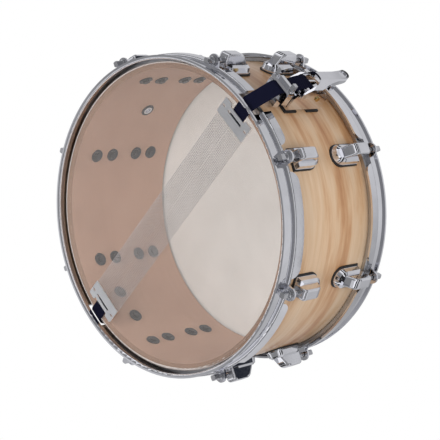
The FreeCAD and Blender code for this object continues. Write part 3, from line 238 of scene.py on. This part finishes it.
def clear_film():
    """The snare-side head: thin clear film, glossy, a little hazy."""
    shader = Shader("clear_film")
    haze = shader.noise(shader.place, 16.0, 3.0)
    ripple = shader.noise(shader.place, 9.0, 2.0)
    tint = shader.ramp(haze, (0.3, (0.94, 0.92, 0.91)), (0.7, (0.97, 0.95, 0.94)))
    surface = shader.node("ShaderNodeBsdfPrincipled", Base_Color=(0.85, 0.82, 0.80, 1.0),
                          Roughness=0.09, Normal=shader.bump(ripple, 0.05, 0.002))
    window = shader.node("ShaderNodeBsdfTransparent", Color=tint)
    edge = shader.node("ShaderNodeLayerWeight", Blend=0.16)
    share = shader.range(edge.outputs["Fresnel"], 0.0, 1.0, 0.04, 0.9)
    both = shader.node("ShaderNodeMixShader", Fac=share)
    shader.links.new(window.outputs[0], both.inputs[1])
    shader.links.new(surface.outputs[0], both.inputs[2])
    shader.links.new(both.outputs[0], shader.output.inputs["Surface"])
    return shader.material


def woven():
    """Nylon tape: a fine over-and-under weave in very dark blue."""
    shader = Shader("woven_tape")
    warp = shader.node("ShaderNodeTexWave", {"bands_direction": "X"}, Vector=shader.place,
                       Scale=380.0, Distortion=0.4).outputs["Fac"]
    weft = shader.node("ShaderNodeTexWave", {"bands_direction": "DIAGONAL"}, Vector=shader.place,
                       Scale=260.0, Distortion=0.4).outputs["Fac"]
    weave = shader.maths("MULTIPLY", warp, weft)
    colour = shader.ramp(weave, (0.1, (0.0025, 0.0028, 0.009)), (0.8, (0.007, 0.008, 0.024)))
    shader.principled(Base_Color=colour, Roughness=0.8, Specular_IOR_Level=0.1,
                      Normal=shader.bump(weave, 0.5, 0.0002))
    return shader.material


# ---------------------------------------------------------------- finishes of the CAD nodes
def finish_nodes():
    """Every carried-over node gets the finish of its material slot."""
    finishes = {
        "shell_wood": maple(),
        "chrome": plated("chrome_plate", (0.87, 0.875, 0.91), 0.04),
        "plated_steel": plated("plated_steel", (0.74, 0.745, 0.77), 0.12, 0.08),
        "dark_steel": plated("dark_steel", (0.028, 0.031, 0.042), 0.34, 0.1),
        # The flesh hoops' aluminium is set darker than bare alloy, as painted shade for where they
        # sit in the shadowed gap under the rims.
        "hoop_alloy": plated("hoop_alloy", (0.62, 0.62, 0.63), 0.30, 0.1),
        "brass": plated("brass", (0.72, 0.52, 0.22), 0.18, 0.06),
        "coated_film": coated_film(),
        "clear_film": clear_film(),
        "black_rubber": moulded("black_rubber", (0.012, 0.012, 0.013), 0.6),
        "satin_steel": plated("satin_steel", (0.96, 0.965, 0.975), 0.34, 0.06),
        "snare_wire": plated("snare_wire", (0.95, 0.95, 0.955), 0.14, 0.03),
        "strap_weave": woven(),
    }
    for entry in frame["record"]["subparts"]:
        mesh = NODES[entry["node"]].data
        mesh.materials.clear()
        mesh.materials.append(finishes[entry["material_slot"]])
    return finishes


# ---------------------------------------------------------------- snare wires and straps
def new_piece(name, verts, faces, finish):
    """A smooth mesh object of the drum itself."""
    mesh = bpy.data.meshes.new(name)
    mesh.from_pydata(verts, [], faces)
    mesh.polygons.foreach_set("use_smooth", [True] * len(faces))
    mesh.materials.append(finish)
    piece = bpy.data.objects.new(name, mesh)
    bpy.context.scene.collection.objects.link(piece)
    return piece


def make_coils(finish):
    """Every wire of the snares as a real coil, one half wound left and the other right."""
    low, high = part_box("snare_coils")
    outer = (high.z - low.z) / 2
    level = (high.z + low.z) / 2
    wire = 0.00032
    mean = outer - wire
    pitch = 0.0024
    steps = 8
    corners = 4
    count = 20
    first = low.x + outer
    gap = (high.x - low.x - 2 * outer) / (count - 1)
    turns = int((high.y - low.y) / pitch)
    slope = math.atan2(pitch, 2 * math.pi * mean)
    verts = []
    faces = []
    for coil in range(count):
        centre = first + coil * gap
        hand = 1 if coil < count // 2 else -1
        start = len(verts)
        rings = turns * steps + 1
        for ring in range(rings):
            angle = hand * 2 * math.pi * ring / steps
            along = low.y + pitch * ring / steps
            radial = Vector((math.cos(angle), 0.0, math.sin(angle)))
            side = Vector((math.sin(angle) * math.sin(slope) * hand, math.cos(slope),
                           -math.cos(angle) * math.sin(slope) * hand))
            middle = Vector((centre, along, level)) + mean * radial
            for offset in (radial, side, -radial, -side):
                verts.append(middle + wire * offset)
        for ring in range(rings - 1):
            near = start + corners * ring
            far = near + corners
            for corner in range(corners):
                after = (corner + 1) % corners
                faces.append((near + corner, near + after, far + after, far + corner))
    coils = new_piece("coiled_wires", verts, faces, finish)
    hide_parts("snare_coils")
    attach(coils, "snares")


def smooth_route(points, steps=8):
    """A rounded path through points of distance and height."""
    route = []
    padded = [points[0], *points, points[-1]]
    for index in range(1, len(padded) - 2):
        before, start, stop, after = (Vector(point) for point in padded[index - 1:index + 3])
        for step in range(steps):
            share = step / steps
            leave = (stop - before) * 0.5
            arrive = (after - start) * 0.5
            by_start = 2 * share ** 3 - 3 * share ** 2 + 1
            by_leave = share ** 3 - 2 * share ** 2 + share
            by_stop = -2 * share ** 3 + 3 * share ** 2
            by_arrive = share ** 3 - share ** 2
            route.append(by_start * start + by_leave * leave + by_stop * stop + by_arrive * arrive)
    route.append(Vector(points[-1]))
    return route


def make_tape(name, points, end, finish):
    """A woven strap along a route, thicker at its two selvedges."""
    half = 0.0100
    selvedge = TAPE_THICK + 0.00007
    top = [(-half, 0.0), (-half + 0.0002, TAPE_THICK * 0.8), (-half + 0.0006, selvedge),
           (-half + 0.0012, selvedge), (-half + 0.0017, TAPE_THICK), (0.0, TAPE_THICK)]
    top += [(-x, lift) for x, lift in reversed(top[:-1])]
    section = top + [(x, -lift) for x, lift in reversed(top[1:-1])]
    route = smooth_route(points)
    verts = []
    faces = []
    size = len(section)
    for index, place in enumerate(route):
        ahead = route[min(index + 1, len(route) - 1)] - route[max(index - 1, 0)]
        across = Vector((-ahead.y, ahead.x)).normalized()
        for x, lift in section:
            out = place + across * lift
            verts.append(Vector((x, end * out.x, out.y)))
    for index in range(len(route) - 1):
        for corner in range(size):
            after = (corner + 1) % size
            quad = (size * index + corner, size * index + after,
                    size * (index + 1) + after, size * (index + 1) + corner)
            faces.append(quad if end > 0 else quad[::-1])
    faces.append(tuple(range(size)) if end < 0 else tuple(reversed(range(size))))
    last = size * (len(route) - 1)
    far = tuple(range(last, last + size))
    faces.append(far[::-1] if end < 0 else far)
    return new_piece(name, verts, faces, finish)


def make_straps(finish):
    """The strap through the clamp with its curled tail, and the one held by the butt plate."""
    film = 0.0067 + TAPE_THICK
    front = make_tape("front_tape", [
        (0.1550, film), (0.1650, film), (0.1735, film), (0.1775, 0.0074), (0.1825, 0.0094),
        (0.1870, 0.0132), (0.1985, 0.0258), (0.2050, 0.0332), (0.2076, 0.0372), (0.2080, 0.0410),
        (0.2080, 0.0480), (0.2082, 0.0515), (0.2100, 0.0590), (0.2131, 0.0680),
        (0.2150, 0.0770), (0.2152, 0.0835), (0.2136, 0.0874), (0.2110, 0.0880),
        (0.2090, 0.0861),
    ], -1, finish)
    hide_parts("strap_front")
    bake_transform(front)
    clearance = 0.0006
    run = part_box("butt_base")[1].y + clearance
    rear = make_tape("rear_tape", [
        (0.1490, film), (0.1650, film), (0.1735, film), (0.1775, 0.0074), (0.1822, 0.0100),
        (0.1860, 0.0150), (run - 0.0004, 0.0215), (run, 0.0250), (run, 0.0400), (run, 0.0665),
    ], 1, finish)
    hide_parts("strap_rear")
    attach(rear, "snares")


# ---------------------------------------------------------------- studio
CAMERA_PLACE = Vector((0.63355, -0.84607, -1.01206))
CAMERA_RIGHT = Vector((0.53087, -0.50058, 0.68381))
CAMERA_UP = Vector((-0.74298, -0.66304, 0.09143))
LENS = 104.46
SENSOR_WIDTH = 36.0
FLOOR_HALF = 3.0
FLOOR_DROP = 0.0006


def make_camera():
    """The camera below and in front of the drum, rolled so that the snare side faces left."""
    data = bpy.data.cameras.new("camera")
    data.lens = LENS
    data.sensor_width = SENSOR_WIDTH
    camera = bpy.data.objects.new("camera", data)
    bpy.context.scene.collection.objects.link(camera)
    back = CAMERA_RIGHT.cross(CAMERA_UP).normalized()
    right = CAMERA_UP.cross(back).normalized()
    up = back.cross(right)
    turn = Matrix((right, up, back)).transposed().to_4x4()
    camera.matrix_world = Matrix.Translation(CAMERA_PLACE) @ turn
    bpy.context.scene.camera = camera


def area_light(name, place, aim, size, power):
    """A softbox aimed at a point; mirror finishes see the surround instead of it."""
    data = bpy.data.lights.new(name, "AREA")
    data.shape = "RECTANGLE"
    data.size, data.size_y = size
    data.energy = power
    light = bpy.data.objects.new(name, data)
    bpy.context.scene.collection.objects.link(light)
    light.location = place
    light.rotation_mode = "QUATERNION"
    light.rotation_quaternion = (Vector(aim) - Vector(place)).to_track_quat("-Z", "Y")
    light.visible_camera = False
    light.visible_glossy = False


def make_lights():
    """Soft light from beside the strainer, from below, from the vent's side and from above."""
    centre = (0.0, 0.0, MIDDLE)
    area_light("key", (1.2, -1.2, -0.45), centre, (0.9, 1.2), 18.0)
    area_light("under", (0.2, -0.5, -1.6), centre, (1.5, 1.0), 30.0)
    area_light("side", (-1.5, -0.3, -0.6), centre, (0.5, 1.6), 8.0)
    area_light("top", (0.3, 0.2, 1.7), centre, (1.4, 1.4), 30.0)


# The greys that mirrors see, from straight below (0) to straight above (1).
SURROUND = (
    (0.00, 0.22), (0.19, 0.26), (0.22, 0.60), (0.29, 0.70), (0.30, 1.10), (0.36, 1.10),
    (0.375, 0.02), (0.49, 0.03), (0.505, 0.95), (0.55, 0.95), (0.565, 0.03), (0.68, 0.05),
    (0.70, 0.48), (0.82, 0.58), (0.90, 0.62), (0.93, 0.50), (1.00, 0.30),
)
SURROUND_TILT = (math.radians(12), math.radians(-9), 0.0)
SURROUND_BLUE = 1.03
# A dark band on one side, mirrored where the near rim's wall bends into its skirt. Each edge
# is a pair: where the band begins to show and where it is full.
BAND_TOWARDS = (0.682, -0.731, 0.0)
BAND_SIDE_EDGE = (0.40, 0.46)
BAND_LOW_EDGE = (0.652, 0.660)
BAND_HIGH_EDGE = (0.740, 0.734)
BAND_TONE = (0.018, 0.021, 0.030, 1.0)
MATT_STRENGTH = 0.42
WHITE = (1.0, 1.0, 1.0, 1.0)


def surround_walls(nodes, links, direction):
    """The colour of the tilted walls seen in a direction."""
    tilt = nodes.new("ShaderNodeMapping")
    tilt.inputs["Rotation"].default_value = SURROUND_TILT
    links.new(direction, tilt.inputs["Vector"])
    parts = nodes.new("ShaderNodeSeparateXYZ")
    links.new(tilt.outputs[0], parts.inputs[0])
    rise = nodes.new("ShaderNodeMapRange")
    rise.inputs["From Min"].default_value = -1.0
    links.new(parts.outputs[2], rise.inputs["Value"])
    walls = nodes.new("ShaderNodeValToRGB")
    elements = walls.color_ramp.elements
    while len(elements) < len(SURROUND):
        elements.new(0.5)
    for element, (position, grey) in zip(elements, SURROUND):
        element.position = position
        element.color = (grey, grey, grey * SURROUND_BLUE, 1.0)
    links.new(rise.outputs[0], walls.inputs["Fac"])
    return walls.outputs["Color"]


def dark_band(nodes, links, direction):
    """How far a direction lies inside the dark band, from 0 to 1."""
    sideways = nodes.new("ShaderNodeVectorMath")
    sideways.operation = "DOT_PRODUCT"
    sideways.inputs[1].default_value = BAND_TOWARDS
    links.new(direction, sideways.inputs[0])
    parts = nodes.new("ShaderNodeSeparateXYZ")
    links.new(direction, parts.inputs[0])
    level = parts.outputs[2]
    shares = []
    for source, (begin, full) in ((sideways.outputs["Value"], BAND_SIDE_EDGE),
                                  (level, BAND_LOW_EDGE), (level, BAND_HIGH_EDGE)):
        edge = nodes.new("ShaderNodeMapRange")
        edge.inputs["From Min"].default_value = begin
        edge.inputs["From Max"].default_value = full
        links.new(source, edge.inputs["Value"])
        shares.append(edge.outputs[0])
    inside = shares[0]
    for share in shares[1:]:
        product = nodes.new("ShaderNodeMath")
        product.operation = "MULTIPLY"
        links.new(inside, product.inputs[0])
        links.new(share, product.inputs[1])
        inside = product.outputs[0]
    return inside


def switch(nodes, links, factor, when_off, when_on):
    """One of two shaders, chosen by a factor of 0 or 1."""
    mix = nodes.new("ShaderNodeMixShader")
    links.new(factor, mix.inputs[0])
    links.new(when_off, mix.inputs[1])
    links.new(when_on, mix.inputs[2])
    return mix.outputs[0]


def make_world():
    """White behind the drum, even grey on matt finishes; mirrors see walls with dark gaps."""
    world = bpy.data.worlds.new("studio")
    world.use_nodes = True
    bpy.context.scene.world = world
    nodes = world.node_tree.nodes
    links = world.node_tree.links
    nodes.clear()
    direction = nodes.new("ShaderNodeTexCoord").outputs["Generated"]
    mirrored = nodes.new("ShaderNodeMix")
    mirrored.data_type = "RGBA"
    links.new(dark_band(nodes, links, direction), mirrored.inputs[0])
    links.new(surround_walls(nodes, links, direction), mirrored.inputs[6])
    mirrored.inputs[7].default_value = BAND_TONE
    studio = nodes.new("ShaderNodeBackground")
    links.new(mirrored.outputs[2], studio.inputs["Color"])
    even = nodes.new("ShaderNodeBackground")
    even.inputs["Color"].default_value = WHITE
    even.inputs["Strength"].default_value = MATT_STRENGTH
    white = nodes.new("ShaderNodeBackground")
    white.inputs["Color"].default_value = WHITE
    path = nodes.new("ShaderNodeLightPath").outputs
    lit = switch(nodes, links, path["Is Glossy Ray"], even.outputs[0], studio.outputs[0])
    seen = switch(nodes, links, path["Is Camera Ray"], lit, white.outputs[0])
    output = nodes.new("ShaderNodeOutputWorld")
    links.new(seen, output.inputs["Surface"])
    bpy.context.scene.view_settings.view_transform = "Standard"


def make_floor():
    """A plain pale floor under the rim; its underside is left open to the camera below."""
    mesh = bpy.data.meshes.new("floor")
    shape = bmesh.new()
    bmesh.ops.create_grid(shape, x_segments=8, y_segments=8, size=FLOOR_HALF)
    shape.to_mesh(mesh)
    shape.free()
    floor = bpy.data.objects.new("floor", mesh)
    floor.location.z = -FLOOR_DROP
    bpy.context.scene.collection.objects.link(floor)
    shader = Shader("pale_floor")
    tone = shader.ramp(shader.noise(shader.place, 3.0), (0.3, (0.80, 0.80, 0.80)),
                       (0.7, (0.83, 0.83, 0.83)))
    surface = shader.principled(Base_Color=tone, Roughness=0.8)
    under = shader.node("ShaderNodeNewGeometry").outputs["Backfacing"]
    clear = shader.node("ShaderNodeBsdfTransparent")
    both = shader.node("ShaderNodeMixShader", Fac=under)
    shader.links.new(surface.outputs[0], both.inputs[1])
    shader.links.new(clear.outputs[0], both.inputs[2])
    shader.links.new(both.outputs[0], shader.output.inputs["Surface"])
    mesh.materials.append(shader.material)
    floor.visible_shadow = False
    floor.visible_diffuse = False
    floor.visible_glossy = False
    floor.visible_transmission = False


finishes = finish_nodes()
make_coils(finishes["snare_wire"])
make_straps(finishes["strap_weave"])
make_camera()
make_lights()
make_world()
make_floor()
